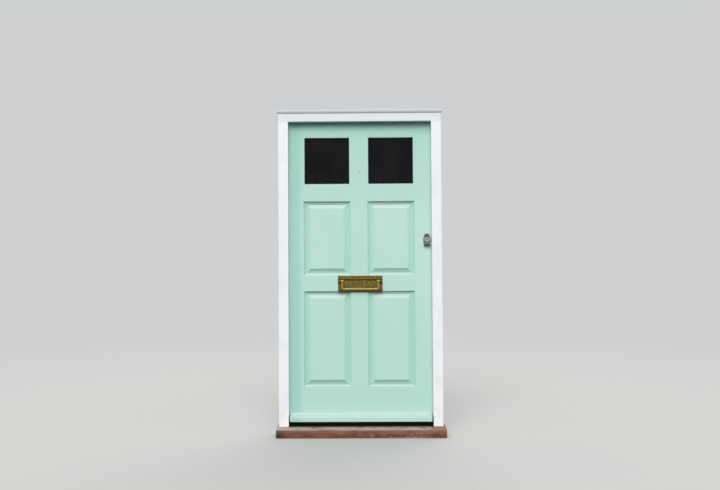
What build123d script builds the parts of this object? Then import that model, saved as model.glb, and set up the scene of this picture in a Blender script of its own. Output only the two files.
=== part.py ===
"""Panelled front door with its frame: CAD source in millimetres.

+X is to the right seen from the street, +Y goes into the house and +Z is up.
Y = 0 is the frame's street face. The origin is on the sill's underside, at mid-width, below that face.
"""

from build123d import *
from math import cos, pi, radians, sin, tan
import os

# Frame: the opening is what shows between the posts' stops and below the head's stop
opening_w = 976.0
opening_h = 2069.0
post_w = 66.0
head_h = 56.0
frame_depth = 95.0
stop_lap = 13.0
cap_h = 27.0
cap_projection = 9.0
cap_back = 34.0
cap_fillet_h = 7.0
cap_fall = 3.0
cap_under = 3.0
cap_arc_deg = 45.0
horn = 13.0
frame_tenon_t = 18.0
frame_tenon_w = 38.0
frame_tenon_l = 30.0

# Sill: its weathered top falls from the stop to the nose
sill_h = 61.0
sill_projection = 80.0
sill_fall_deg = 5.0
sill_nose_r = 4.0
throat_w = 8.0
throat_d = 6.0
throat_inset = 16.0
water_bar_t = 6.0
water_bar_h = 24.0
water_bar_rise = 10.0

# Wall fixings: two screw holes through each post
wall_hole_r = 4.5
wall_sink_r = 9.0
wall_hole_low = 380.0
wall_hole_pitch = 1300.0

# Leaf: what is between its members follows from the leaf's size and these
leaf_t = 44.0
side_gap = 3.0
weather_gap = 2.0
foot_gap = 6.5
hinge_stile_w = 111.0
lock_stile_w = 123.0
muntin_w = 114.0
top_rail_h = 107.0
pane_h = 335.0
frieze_rail_h = 110.0
upper_panel_h = 511.0
lock_rail_h = 105.0
bottom_rail_h = 245.0
rail_tenon_t = 14.0
rail_tenon_l = 62.0
tenon_shoulder = 16.0
wood_fit = 0.1
past = 1.0  # how far a cutter runs past a face, or a joined piece runs into its neighbour

# Panels: raised and fielded outside, flat inside
groove_d = 9.0
groove_back = 15.0
tongue_t = 11.0
tongue_l = 8.0
moulding_w = 21.0
moulding_face = 2.0
moulding_fillet = 3.0
moulding_step = 2.0
moulding_toe_h = 3.0
moulding_toe_w = 1.0
bevel_w = 27.0
field_step = 3.0
field_face = 3.5
mitre_gap = 0.15
seat_gap = 0.2

# Panes
glass_t = 4.0
glass_edge = 1.0
bead_w = 9.0
bead_face = 0.8
bead_chamfer = 2.0
outer_bead_d = 16.0
inner_bead_d = 16.0
bead_round = 3.0

# Weatherboard and the rebate over the water bar
board_d = 44.0
board_nose_h = 30.0
board_rise = 24.0
board_scoop_r = 14.0
board_scoop_deg = 65.0
board_lift = 30.0
board_end_gap = 8.0
board_round = 5.0
board_tongue = 9.0
foot_rebate_d = 20.0
foot_rebate_h = 12.0

# Painted-over fixing hole in the top muntin
old_hole_r = 3.0
old_hole_d = 1.5
old_hole_x = 2.0
old_hole_lift = 95.0

# Hinges
hinge_h = 102.0
flap_w = 32.0
flap_t = 2.5
barrel_r = 6.5
hinge_pin_r = 3.0
pin_clear = 0.05
knuckle_gap = 0.3
barrel_clear = 0.5
pin_head_h = 2.5
pin_head_r = 5.0
hinge_screw_pitch = 23.0
hinge_screw_stagger = 6.0
hinge_from_top = 178.0
hinge_from_foot = 280.0
screw_shank_r = 2.1
screw_head_r = 4.0
screw_head_h = 2.0
screw_l = 28.0
screw_fit = 0.1
screw_slot_w = 1.2
screw_slot_d = 1.0

# Letter plate, flap and bail
slot_w = 250.0
slot_h = 64.0
plate_border_w = 27.5
plate_border_h = 24.5
plate_t = 4.0
plate_round = 3.0
plate_drop = 5.0
slot_drop = 6.0
slot_top_lip = 3.0
slot_lip = 1.0
flap_edge = 1.5
letter_flap_t = 3.0
flap_set_back = 2.0
flap_top_gap = 0.5
flap_chamfer = 1.0
letter_pin_r = 2.0
letter_lug_t = 6.0
letter_lug_r = 4.5
letter_lug_gap = 0.5
letter_eye_r = 4.0
letter_spring_bay = 18.0
spring_wire_r = 0.6
spring_coils = 7
spring_coil_pitch = 1.6
spring_leg_l = 22.0
spring_seat = 0.05
bail_r = 8.0
bail_corner_r = 14.0
bail_eye_r = 8.5
bail_inset = 2.5
bail_l = 55.0
bail_pivot_drop = 36.0
bail_pivot_out = 14.0
bail_pin_r = 3.0
ear_t = 13.0
ear_r = 8.5
ear_gap = 0.4
bail_boss_r = 11.0
bail_boss_l = 16.0
stud_r = 2.5
stud_nut_r = 5.0
stud_nut_h = 4.0
stud_end = 1.0
stud_inset = 14.0

# Rim night latch
latch_backset = 40.0
latch_z = 1321.0
cylinder_r = 14.5
cylinder_rim_r = 16.5
cylinder_rim_t = 2.5
cylinder_l = 30.0
cylinder_bore_r = 16.0
plug_r = 6.5
plug_clear = 0.05
keyway_w = 2.4
keyway_h = 8.5
keyway_d = 10.0
tailbar_w = 6.0
tailbar_t = 2.0
tailbar_end = 6.0
pull_w = 52.0
pull_up = 47.0
pull_down = 40.0
pull_t = 3.0
pull_lip_gap = 1.0
pull_rim_w = 8.0
pull_rim_chamfer = 2.0
pull_rim_d = 5.0
pull_lip_out = 20.0
pull_lip_w = 40.0
case_w = 66.0
case_h = 88.0
case_d = 27.0
case_wall = 3.0
case_round = 5.0
case_set_in = 0.5
backplate_t = 2.0
bolt_w = 14.0
bolt_h = 20.0
bolt_l = 30.0
bolt_throw = 13.0
bolt_bevel = 9.0
bolt_fit = 0.4
tail_lap = 4.0
tail_t = 4.0
tail_low = 7.0
tail_h = 15.0
tail_reach = 26.0
crank_r = 13.0
crank_pin_r = 2.5
crank_arm_t = 3.0
crank_half_deg = 30.0
crank_fit = 0.5
crank_eye = 1.0
crank_pin_short = 0.2
spindle_r = 5.0
spindle_clear = 0.05
knob_r = 17.0
knob_l = 15.0
knob_flute_r = 3.0
knob_flutes = 10
knob_flute_out = 1.0
knob_gap = 1.0
knob_chamfer = 2.0
snib_w = 6.0
snib_h = 12.0
snib_out = 5.0
snib_travel = 7.0
snib_drop = 27.0
snib_fit = 0.4
snib_foot_w = 2.0
snib_foot_t = 2.6
snib_chamfer = 1.0
bolt_spring_r = 3.0
bolt_spring_wire_r = 0.5
bolt_spring_coils = 3
bolt_spring_seat = 0.2
connecting_screw_r = 2.5
connecting_pitch = 11.0
connecting_head_r = 4.2
connecting_head_h = 2.0
fitting_screw_inset = 9.0
front_screw_inset = 14.0
staple_w = 30.0
staple_h = 60.0
staple_d = 27.0
staple_gap = 2.0
staple_play = 2.0
staple_screw_grip = 20.0

# Places that follow from the sizes above
half_opening = opening_w / 2
half_frame = half_opening + post_w
half_rebate = half_opening + stop_lap
leaf_half = half_rebate - side_gap
leaf_back = frame_depth
leaf_face = leaf_back - leaf_t
stop_depth = leaf_face - weather_gap
sill_back_h = sill_h + stop_depth * tan(radians(sill_fall_deg))
sill_nose_h = sill_h - sill_projection * tan(radians(sill_fall_deg))
head_z = sill_h + opening_h
head_top = head_z + head_h
leaf_foot = sill_back_h + foot_gap
leaf_top = head_z + stop_lap - side_gap
top_rail_z = leaf_top - top_rail_h
pane_z = top_rail_z - pane_h
frieze_z = pane_z - frieze_rail_h
upper_panel_z = frieze_z - upper_panel_h
lock_rail_z = upper_panel_z - lock_rail_h
lower_panel_z = leaf_foot + bottom_rail_h
inner_left = -leaf_half + hinge_stile_w
inner_right = leaf_half - lock_stile_w
panel_w = (inner_right - inner_left - muntin_w) / 2
muntin_left = inner_left + panel_w
muntin_right = muntin_left + muntin_w
columns = {"left": (inner_left, muntin_left), "right": (muntin_right, inner_right)}
panel_rows = {"upper": (upper_panel_z, frieze_z), "lower": (lower_panel_z, lock_rail_z)}
tongue_face = leaf_face + groove_back
groove_t = tongue_t + 2 * wood_fit
tenon_y = leaf_face + (leaf_t - rail_tenon_t) / 2
hinge_x = -(leaf_half + half_rebate) / 2
hinge_y = leaf_back + barrel_r + barrel_clear
hinge_top_z = leaf_top - hinge_from_top
hinge_low_z = leaf_foot + hinge_from_foot
hinge_heights = {
    "top": hinge_top_z,
    "middle": (hinge_top_z + hinge_low_z) / 2,
    "bottom": hinge_low_z,
}
plate_w = slot_w + 2 * plate_border_w
plate_h = slot_h + 2 * plate_border_h
bail_w = slot_w - 2 * bail_inset
stud_x = slot_w / 2 + stud_inset
plate_z = lock_rail_z + lock_rail_h / 2 - plate_drop
plate_face = leaf_face - plate_t
flap_back = plate_face + flap_set_back + letter_flap_t
slot_z = lock_rail_z + lock_rail_h / 2 - slot_drop
slot_top = slot_z + slot_h / 2
slot_foot = slot_z - slot_h / 2
letter_pin_z = slot_top - letter_lug_r - letter_lug_gap - slot_lip
aperture_half = slot_w / 2 - letter_lug_t - letter_lug_gap
letter_pin_y = leaf_face + letter_lug_r + letter_lug_gap
bail_z = plate_z + plate_h / 2 - bail_pivot_drop
bail_y = plate_face - bail_pivot_out
latch_x = leaf_half - latch_backset
case_front = leaf_half - case_set_in
case_back = leaf_back + backplate_t
case_face = case_back + case_d
bolt_y = case_back + case_wall + crank_arm_t
crank_x = crank_r * sin(radians(crank_half_deg))

nodes = {}


def block(x0, x1, y0, y1, z0, z1):
    """A box between two corners."""
    low = (Align.MIN, Align.MIN, Align.MIN)
    return Pos(x0, y0, z0) * Box(x1 - x0, y1 - y0, z1 - z0, align=low)


def along_x(points, x0, x1):
    """A prism along X from (y, z) points."""
    return extrude(Plane.YZ.offset(x0) * Polygon(*points, align=None), x1 - x0, dir=(1, 0, 0))


def along_y(points, y0, y1):
    """A prism along Y from (x, z) points."""
    return extrude(Plane.XZ.offset(-y0) * Polygon(*points, align=None), y1 - y0, dir=(0, 1, 0))


def along_z(points, z0, z1):
    """A prism along Z from (x, y) points."""
    return extrude(Plane.XY.offset(z0) * Polygon(*points, align=None), z1 - z0, dir=(0, 0, 1))


def rod_x(radius, x0, x1, y, z):
    """A round bar along X."""
    low = (Align.CENTER, Align.CENTER, Align.MIN)
    return Pos(x0, y, z) * Rot(0, 90, 0) * Cylinder(radius, x1 - x0, align=low)


def rod_y(radius, x, y0, y1, z):
    """A round bar along Y."""
    low = (Align.CENTER, Align.CENTER, Align.MIN)
    return Pos(x, y0, z) * Rot(-90, 0, 0) * Cylinder(radius, y1 - y0, align=low)


def rod_z(radius, x, y, z0, z1):
    """A round bar along Z."""
    low = (Align.CENTER, Align.CENTER, Align.MIN)
    return Pos(x, y, z0) * Cylinder(radius, z1 - z0, align=low)


def wood_screw(grow=0.0, length=screw_l):
    """A countersunk screw with its head's face at the origin, going in along -Z."""
    head = Pos(0, 0, -screw_head_h / 2) * Cone(screw_shank_r + grow, screw_head_r + grow, screw_head_h)
    shank = Pos(0, 0, -length / 2) * Cylinder(screw_shank_r + grow, length)
    if grow:
        return head + shank
    slot = Pos(0, 0, -screw_slot_d / 2) * Box(screw_slot_w, 2 * screw_head_r + past, screw_slot_d)
    return head + shank - slot


def moulded_frame(x0, x1, z0, z1, width, profile):
    """Four mitred strips round the opening x0..x1, z0..z1, on its inner edges.

    profile holds (distance in from the edge, Y) points.
    """
    foot = along_x([(y, z0 + u) for u, y in profile], x0, x1)
    top = along_x([(y, z1 - u) for u, y in profile], x0, x1)
    left = along_z([(x0 + u, y) for u, y in profile], z0, z1)
    right = along_z([(x1 - u, y) for u, y in profile], z0, z1)
    ys = [y for u, y in profile]
    span = (min(ys) - past, max(ys) + past)
    g, w = mitre_gap, width
    cut_foot = along_y([(x0 + g, z0), (x1 - g, z0), (x1 - w - g, z0 + w), (x0 + w + g, z0 + w)], *span)
    cut_top = along_y([(x0 + g, z1), (x0 + w + g, z1 - w), (x1 - w - g, z1 - w), (x1 - g, z1)], *span)
    cut_left = along_y([(x0, z0), (x0 + w, z0 + w), (x0 + w, z1 - w), (x0, z1)], *span)
    cut_right = along_y([(x1, z0), (x1, z1), (x1 - w, z1 - w), (x1 - w, z0 + w)], *span)
    pairs = [(foot, cut_foot), (top, cut_top), (left, cut_left), (right, cut_right)]
    return Compound(children=[(strip & cut).solid() for strip, cut in pairs])


def arc_points(centre_u, centre_y, radius_u, radius_y, start_deg, end_deg, steps=6):
    """Points along a quarter or less of an ellipse, for a moulding's section."""
    angles = [radians(start_deg + (end_deg - start_deg) * i / steps) for i in range(steps + 1)]
    return [(centre_u + radius_u * cos(a), centre_y + radius_y * sin(a)) for a in angles]


def sill_section(y0=-sill_projection, z0=0.0):
    """The sill's section as (y, z) points: sloping top outside the leaf, level top behind."""
    return [
        (y0, z0),
        (frame_depth, z0),
        (frame_depth, sill_back_h),
        (stop_depth, sill_back_h),
        (y0, sill_h + y0 * tan(radians(sill_fall_deg))),
    ]


def post_tenons(grow=0.0):
    """The tenons at the head and foot of the posts, or with a fit their mortises."""
    y0 = stop_depth / 2 - frame_tenon_t / 2 - grow
    y1 = y0 + frame_tenon_t + 2 * grow
    out = []
    for side in (-1, 1):
        centre = side * (half_opening + post_w / 2)
        x0 = centre - frame_tenon_w / 2 - grow
        x1 = centre + frame_tenon_w / 2 + grow
        out.append(block(x0, x1, y0, y1, sill_nose_h - frame_tenon_l / 2 - grow, sill_back_h))
        out.append(block(x0, x1, y0, y1, head_z - past, head_z + frame_tenon_l + grow))
    return out


def make_sill():
    """The projecting sill with its drip throat, water bar groove and mortises."""
    half = half_frame + horn
    sill = along_x(sill_section(), -half, half)
    nose = sill.edges().filter_by(Axis.X).sort_by(Axis.Y)[:2]
    sill = fillet(nose, sill_nose_r)
    throat_y = -sill_projection + throat_inset
    sill -= block(-half, half, throat_y, throat_y + throat_w, -past, throat_d)
    bar_y, bar_z = water_bar_place()
    sill -= block(
        -half_rebate,
        half_rebate,
        bar_y - wood_fit,
        bar_y + water_bar_t + wood_fit,
        bar_z - wood_fit,
        sill_back_h + past,
    )
    for cutter in post_tenons(wood_fit):
        sill -= cutter
    return sill


def water_bar_place():
    """The water bar's outer face in Y and its lower edge in Z."""
    return leaf_face + foot_rebate_d - weather_gap - water_bar_t, sill_back_h + water_bar_rise - water_bar_h


def make_head():
    """The head runs over both posts, rebated for the leaf."""
    section = [
        (0, head_z),
        (stop_depth, head_z),
        (stop_depth, head_z + stop_lap),
        (frame_depth, head_z + stop_lap),
        (frame_depth, head_top),
        (0, head_top),
    ]
    head = along_x(section, -half_frame, half_frame)
    for cutter in post_tenons(wood_fit):
        head -= cutter
    return head


def make_post(side):
    """A rebated post: side is -1 at the hinges and 1 at the lock."""
    a, b = half_frame * side, half_opening * side
    c = half_rebate * side
    section = [(a, 0), (b, 0), (b, stop_depth), (c, stop_depth), (c, frame_depth), (a, frame_depth)]
    post = along_z(section, 0, head_z)
    inner = [(a, stop_depth), (c, stop_depth), (c, frame_depth), (a, frame_depth)]
    post += along_z(inner, head_z, head_z + stop_lap)
    post -= along_x(sill_section(-past, -past), -half_frame - past, half_frame + past)
    for tenon in post_tenons():
        if tenon.center().X * side > 0:
            post += tenon
    y = (stop_depth + frame_depth) / 2
    outer, inner_face = sorted((a, c))
    for z in (wall_hole_low, wall_hole_low + wall_hole_pitch):
        post -= rod_x(wall_hole_r, outer - past, inner_face + past, y, z)
        sink = Cone(wall_sink_r, wall_hole_r, wall_sink_r - wall_hole_r)
        depth = (wall_sink_r - wall_hole_r) / 2
        post -= Pos(c + side * depth, y, z) * Rot(0, 90 * side, 0) * sink
    return post


def make_cap():
    """The cap moulding on the head: a weathered top over an ovolo, returned at both ends."""
    low, high = head_top, head_top + cap_h - cap_fall
    reach = (cap_projection - cap_under) / (1 - cos(radians(cap_arc_deg)))
    drop = (high - cap_fillet_h - low) / sin(radians(cap_arc_deg))
    ovolo = arc_points(reach - cap_projection, high - cap_fillet_h, reach, drop, 180 + cap_arc_deg, 180, 8)
    curve = [(0.0, low)] + ovolo
    curve.append((-cap_projection, high))
    section = curve + [(cap_back, high + cap_fall), (cap_back, low)]
    half = half_frame + horn
    ends = [(half_frame - y * horn / cap_projection, z) for y, z in curve]
    ends.append((half, high + cap_fall))
    outline = ends + [(-x, z) for x, z in reversed(ends)]
    return along_x(section, -half, half) & along_y(outline, -cap_projection - past, cap_back + past)


def member(x0, x1, z0, z1):
    """A full-thickness leaf member."""
    return block(x0, x1, leaf_face, leaf_back, z0, z1)


def groove(x0, x1, z0, z1):
    """A cutter for a panel groove."""
    y0 = tongue_face - wood_fit
    return block(x0, x1, y0, y0 + groove_t, z0, z1)


def rail_tenon(z0, z1, grow=0.0):
    """Both tenons of the rail z0..z1, running between the stiles."""
    return block(
        inner_left - rail_tenon_l - grow,
        inner_right + rail_tenon_l + grow,
        tenon_y - grow,
        tenon_y + rail_tenon_t + grow,
        z0 + tenon_shoulder - grow,
        z1 - tenon_shoulder + grow,
    )


def rails():
    """Each rail's foot and top."""
    return {
        "top_rail": (top_rail_z, leaf_top),
        "frieze_rail": (frieze_z, pane_z),
        "lock_rail": (lock_rail_z, upper_panel_z),
        "bottom_rail": (leaf_foot, lower_panel_z),
    }


def make_rail(name):
    """A rail with its tenons and the grooves for panels and muntins."""
    z0, z1 = rails()[name]
    rail = member(inner_left, inner_right, z0, z1) + rail_tenon(z0, z1)
    if name == "top_rail":
        return rail - groove(muntin_left, muntin_right, z0 - past, z0 + groove_d)
    if name == "frieze_rail":
        rail -= groove(inner_left, inner_right, z0 - past, z0 + groove_d)
        return rail - groove(muntin_left, muntin_right, z1 - groove_d, z1 + past)
    rail -= groove(inner_left, inner_right, z1 - groove_d, z1 + past)
    if name == "lock_rail":
        rail -= groove(inner_left, inner_right, z0 - past, z0 + groove_d)
        rail -= block(-slot_w / 2, slot_w / 2, leaf_face - past, leaf_back + past, slot_foot, slot_top)
        for side in (-1, 1):
            rail -= rod_y(stud_r + wood_fit, side * stud_x, leaf_face - past, leaf_back + past, slot_z)
    else:
        rail -= foot_rebate()
        rail -= board_tongue_block(wood_fit)
    return rail


def foot_rebate():
    """The rebate in the leaf's foot that closes over the water bar."""
    return block(
        -leaf_half - past,
        leaf_half + past,
        leaf_face - past,
        leaf_face + foot_rebate_d,
        leaf_foot - past,
        leaf_foot + foot_rebate_h,
    )


def make_stile(side):
    """A stile with its mortises and grooves; side is -1 at the hinges."""
    edge = side * leaf_half
    inner = inner_left if side < 0 else inner_right
    x0, x1 = sorted((edge, inner))
    stile = member(x0, x1, leaf_foot, leaf_top) - foot_rebate()
    for z0, z1 in rails().values():
        stile -= rail_tenon(z0, z1, wood_fit)
    for z0, z1 in panel_rows.values():
        stile -= groove(inner - groove_d, inner + groove_d, z0 - groove_d, z1 + groove_d)
    if side < 0:
        for z in hinge_heights.values():
            stile -= hinge_flap_recess(z, -leaf_half, 1)
            for screw in hinge_screws(z, 1, screw_fit):
                stile -= screw
    else:
        stile -= rod_y(cylinder_bore_r, latch_x, leaf_face - past, leaf_back + past, latch_z)
        for screw in latch_screws(screw_fit):
            stile -= screw
    return stile


def make_muntin(z0, z1, grooved=True):
    """A muntin between two rails with a stub tenon at each end."""
    muntin = member(muntin_left, muntin_right, z0, z1)
    inset = groove_d if grooved else 0.0
    stub = groove_d - wood_fit
    y0 = tongue_face
    muntin += block(
        muntin_left + inset + wood_fit,
        muntin_right - inset - wood_fit,
        y0,
        y0 + tongue_t,
        z0 - stub,
        z1 + stub,
    )
    if grooved:
        muntin -= groove(muntin_left - past, muntin_left + groove_d, z0 - groove_d, z1 + groove_d)
        muntin -= groove(muntin_right - groove_d, muntin_right + past, z0 - groove_d, z1 + groove_d)
    return muntin


def panel_section(low, high):
    """A raised panel's section across low..high, as (position, Y) points."""
    bevel_in = moulding_w + bevel_w
    rise = [
        (0.0 - tongue_l, tongue_face),
        (moulding_w, tongue_face),
        (bevel_in, leaf_face + field_face + field_step),
        (bevel_in, leaf_face + field_face),
    ]
    back = tongue_face + tongue_t
    near = [(low + u, y) for u, y in rise]
    far = [(high - u, y) for u, y in reversed(rise)]
    return [(low - tongue_l, back)] + near + far + [(high + tongue_l, back)]


def make_panel(x0, x1, z0, z1):
    """A raised and fielded panel in its grooves."""
    across = along_z(panel_section(x0, x1), z0 - tongue_l, z1 + tongue_l)
    upright = along_x([(y, z) for z, y in panel_section(z0, z1)], x0 - tongue_l, x1 + tongue_l)
    return across & upright


def panel_moulding_section():
    """The planted moulding: a fillet, a cavetto and a toe on the panel."""
    near = leaf_face + moulding_face
    toe = tongue_face - seat_gap
    top = near + moulding_step
    inner = moulding_w - moulding_toe_w
    cavetto = arc_points(inner, top, moulding_fillet - inner, toe - moulding_toe_h - top, 0, 90)
    return [(0.0, near), (moulding_fillet, near)] + cavetto + [(inner, toe), (0.0, toe)]


def outer_bead_section():
    """The bead outside a pane, nearly flush with the leaf's face."""
    near, back = leaf_face + bead_face, leaf_face + outer_bead_d
    edge = [(bead_w - bead_chamfer, near), (bead_w, near + bead_chamfer)]
    return [(0.0, near)] + edge + [(bead_w, back), (0.0, back)]


def inner_bead_section():
    """The rounded bead inside a pane."""
    near = leaf_face + outer_bead_d + glass_t
    far = near + inner_bead_d
    curve = arc_points(bead_w - bead_round, far - bead_round, bead_round, bead_round, 0, 90, 4)
    return [(0.0, near), (bead_w, near)] + curve + [(0.0, far)]


def make_pane(x0, x1):
    """A pane of glass between its beads."""
    near = leaf_face + outer_bead_d
    return block(
        x0 + glass_edge, x1 - glass_edge, near, near + glass_t, pane_z + glass_edge, top_rail_z - glass_edge
    )


def board_foot():
    """The height of the weatherboard's underside."""
    return sill_h + board_lift


def board_tongue_block(grow=0.0):
    """The tongue that holds the weatherboard in the bottom rail."""
    half = half_opening - board_end_gap - board_tongue
    z0 = board_foot() + board_nose_h - grow
    depth = board_tongue + grow
    half = min(half, min(-inner_left, inner_right)) - (0 if grow else wood_fit)
    return block(-half, half, leaf_face - past, leaf_face + depth, z0, z0 + board_tongue + 2 * grow)


def make_weatherboard():
    """The weatherboard: a sloping top, scooped where it meets the leaf, a rounded nose and a drip throat."""
    z0 = board_foot()
    top = z0 + board_nose_h + board_rise
    face = leaf_face - board_d
    half = half_opening - board_end_gap
    centre = leaf_face - board_tongue / 2 - board_scoop_r
    scoop = arc_points(centre, top, board_scoop_r, board_scoop_r, -board_scoop_deg, 0)
    section = [
        (leaf_face, z0),
        (face, z0),
        (face, z0 + board_nose_h),
        *scoop,
        (leaf_face, top),
    ]
    board = along_x(section, -half, half)
    nose = board.edges().filter_by(Axis.X).sort_by(Axis.Y)[:2].sort_by(Axis.Z)[-1]
    board = fillet(nose, board_round)
    throat = face + throat_inset
    board -= block(-half, half, throat, throat + throat_w, z0 - past, z0 + throat_d)
    return board + board_tongue_block()


def hinge_flap_recess(z, edge, inward):
    """A cutter as large as a hinge flap; inward is 1 into +X and -1 into -X."""
    x0, x1 = sorted((edge, edge + inward * flap_t))
    y0 = hinge_y - barrel_r - barrel_clear - flap_w
    z0, z1 = z - hinge_h / 2 - wood_fit, z + hinge_h / 2 + wood_fit
    return block(x0, x1, y0 - wood_fit, leaf_back + past, z0, z1)


def hinge_screws(z, inward, grow=0.0):
    """The four screws of one hinge flap; inward is the way they go in along X."""
    edge = -leaf_half if inward > 0 else -half_rebate
    mid = hinge_y - barrel_r - barrel_clear - flap_w / 2
    out = []
    for i in range(4):
        rise = (i - 1.5) * hinge_screw_pitch
        shift = hinge_screw_stagger * (1 if i % 2 else -1)
        out.append(Pos(edge, mid + shift, z + rise) * Rot(0, -90 * inward, 0) * wood_screw(grow))
    return out


def make_hinge(z):
    """A butt hinge's fixed flap, moving flap and pin, centred at height z."""
    low, high = z - hinge_h / 2, z + hinge_h / 2
    step = hinge_h / 5
    y0 = hinge_y - barrel_r - barrel_clear - flap_w
    bore = rod_z(hinge_pin_r + pin_clear, hinge_x, hinge_y, low - past, high + past)
    flaps = {}
    for name, x0, own in (
        ("fixed", -half_rebate - flap_t, (0, 2, 4)),
        ("moving", -leaf_half, (1, 3)),
    ):
        flap = block(x0, x0 + flap_t, y0, hinge_y, low, high)
        for i in range(5):
            a, b = low + i * step, low + (i + 1) * step
            if i in own:
                a2 = a + (knuckle_gap / 2 if i else 0)
                b2 = b - (knuckle_gap / 2 if i < 4 else 0)
                flap += rod_z(barrel_r, hinge_x, hinge_y, a2, b2)
            else:
                a2, b2 = a - knuckle_gap / 2, b + knuckle_gap / 2
                flap -= rod_z(barrel_r + barrel_clear, hinge_x, hinge_y, a2, b2)
                flap -= block(x0 - past, x0 + flap_t + past, leaf_back, hinge_y + past, a, b)
        flap -= bore
        for screw in hinge_screws(z, 1 if name == "moving" else -1, screw_fit):
            flap -= screw
        flaps[name] = flap
    pin = rod_z(hinge_pin_r, hinge_x, hinge_y, low, high)
    for z0 in (low - pin_head_h, high):
        pin += rod_z(pin_head_r, hinge_x, hinge_y, z0, z0 + pin_head_h)
    return flaps["fixed"], flaps["moving"], pin


def make_letter_plate():
    """The letter plate with its aperture, lugs for the flap's pin, ears for the bail and two studs."""
    half_w, half_h = plate_w / 2, plate_h / 2
    plate = block(-half_w, half_w, plate_face, leaf_face, plate_z - half_h, plate_z + half_h)
    plate = fillet(plate.edges().filter_by(Axis.Y), plate_round)
    plate = chamfer(plate.faces().sort_by(Axis.Y)[0].edges(), plate_t / 3)
    plate -= block(
        -aperture_half,
        aperture_half,
        plate_face - past,
        leaf_face + past,
        slot_foot + slot_lip,
        slot_top - slot_top_lip,
    )
    for side in (-1, 1):
        x0, x1 = sorted((side * aperture_half, side * (aperture_half + letter_lug_t)))
        low, high = letter_pin_z - letter_lug_r, letter_pin_z + letter_lug_r
        lug = block(x0, x1, leaf_face - past, letter_pin_y, low, high)
        plate += lug + rod_x(letter_lug_r, x0, x1, letter_pin_y, letter_pin_z)
        plate -= rod_x(letter_pin_r + pin_clear, x0 - past, x1 + past, letter_pin_y, letter_pin_z)
    for x0, x1 in bail_ears():
        ear = block(x0, x1, bail_y, plate_face + past, bail_z - ear_r, bail_z + ear_r)
        plate += ear + rod_x(ear_r, x0, x1, bail_y, bail_z)
        plate -= rod_x(bail_pin_r + pin_clear, x0 - past, x1 + past, bail_y, bail_z)
    return plate + plate_studs()


def bail_ears():
    """Each ear's low and high X, outside the bail's arms."""
    inner = bail_w / 2 + bail_eye_r + ear_gap
    return [(-inner - ear_t, -inner), (inner, inner + ear_t)]


def plate_studs():
    """The letter plate's two fixing studs."""
    end = leaf_back + stud_nut_h + stud_end
    left, right = [rod_y(stud_r, s * stud_x, leaf_face - past, end, slot_z) for s in (-1, 1)]
    return left + right


def make_letter_flap():
    """The flap: it hangs on its pin behind the plate's aperture and swings inward."""
    half = aperture_half - flap_edge
    y0, y1 = flap_back - letter_flap_t, flap_back
    low, high = slot_foot + slot_lip + flap_edge, slot_top - slot_top_lip - flap_top_gap
    flap = block(-half, half, y0, y1, low, high)
    flap = chamfer(flap.faces().sort_by(Axis.Y)[0].edges().sort_by(Axis.Z)[:-1], flap_chamfer)
    for side in (-1, 1):
        x0, x1 = sorted((side * half, side * letter_spring_bay / 2))
        flap += rod_x(letter_eye_r, x0, x1, letter_pin_y, letter_pin_z)
        flap += block(x0, x1, y1 - past, letter_pin_y, letter_pin_z - letter_eye_r, letter_pin_z)
        flap -= rod_x(letter_pin_r + pin_clear, x0 - past, x1 + past, letter_pin_y, letter_pin_z)
    return flap


def make_letter_pin():
    """The flap's pin, held in the plate's lugs."""
    half = aperture_half + letter_lug_t
    return rod_x(letter_pin_r, -half, half, letter_pin_y, letter_pin_z)


def make_flap_spring():
    """A coil round the flap's pin with a leg down the flap's back."""
    radius = letter_pin_y - flap_back - spring_wire_r - spring_seat
    length = spring_coils * spring_coil_pitch
    helix = Helix(spring_coil_pitch, length, radius)
    section = Plane(helix @ 0, z_dir=helix % 0) * Circle(spring_wire_r)
    coil = Rot(0, 90, 0) * sweep(section, path=helix, is_frenet=True)
    turned = Pos(-length / 2, letter_pin_y, letter_pin_z) * Rot(-90, 0, 0) * coil
    leg = rod_z(
        spring_wire_r, -length / 2, letter_pin_y - radius, letter_pin_z - spring_leg_l, letter_pin_z
    )
    return turned + leg


def make_bail():
    """The U-shaped bail with an eye and a pin on each arm and a boss in the middle of its bar."""
    half = bail_w / 2
    foot = bail_z - bail_l
    corners = [(-half, bail_y, bail_z), (-half, bail_y, foot), (half, bail_y, foot), (half, bail_y, bail_z)]
    path = FilletPolyline(*corners, radius=bail_corner_r)
    bail = sweep(Plane(path @ 0, z_dir=path % 0) * Circle(bail_r), path=path)
    for side in (-1, 1):
        x0, x1 = sorted((side * (half - bail_eye_r), side * (half + bail_eye_r)))
        bail += rod_x(bail_eye_r, x0, x1, bail_y, bail_z)
        x0, x1 = sorted((side * half, side * (half + bail_eye_r + ear_gap + ear_t)))
        bail += rod_x(bail_pin_r, x0, x1, bail_y, bail_z)
    collar = rod_x((bail_r + bail_boss_r) / 2, -bail_boss_l, bail_boss_l, bail_y, foot)
    boss = rod_x(bail_boss_r, -bail_boss_l / 2, bail_boss_l / 2, bail_y, foot)
    return bail + collar + fillet(boss.edges().filter_by(GeomType.CIRCLE), bail_boss_r / 4)


def make_cylinder():
    """The rim cylinder's body with its flange, bored for the plug and tapped behind."""
    face = leaf_face - pull_t
    body = rod_y(cylinder_r, latch_x, face, face + cylinder_l, latch_z)
    body += rod_y(cylinder_rim_r, latch_x, face - cylinder_rim_t, face, latch_z)
    bore = (face - cylinder_rim_t - past, face + cylinder_l + past)
    body -= rod_y(plug_r + plug_clear, latch_x, *bore, latch_z)
    for side in (-1, 1):
        x = latch_x + side * connecting_pitch
        start = face + cylinder_l / 2
        body -= rod_y(connecting_screw_r + screw_fit, x, start, face + cylinder_l + past, latch_z)
    return body


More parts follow.
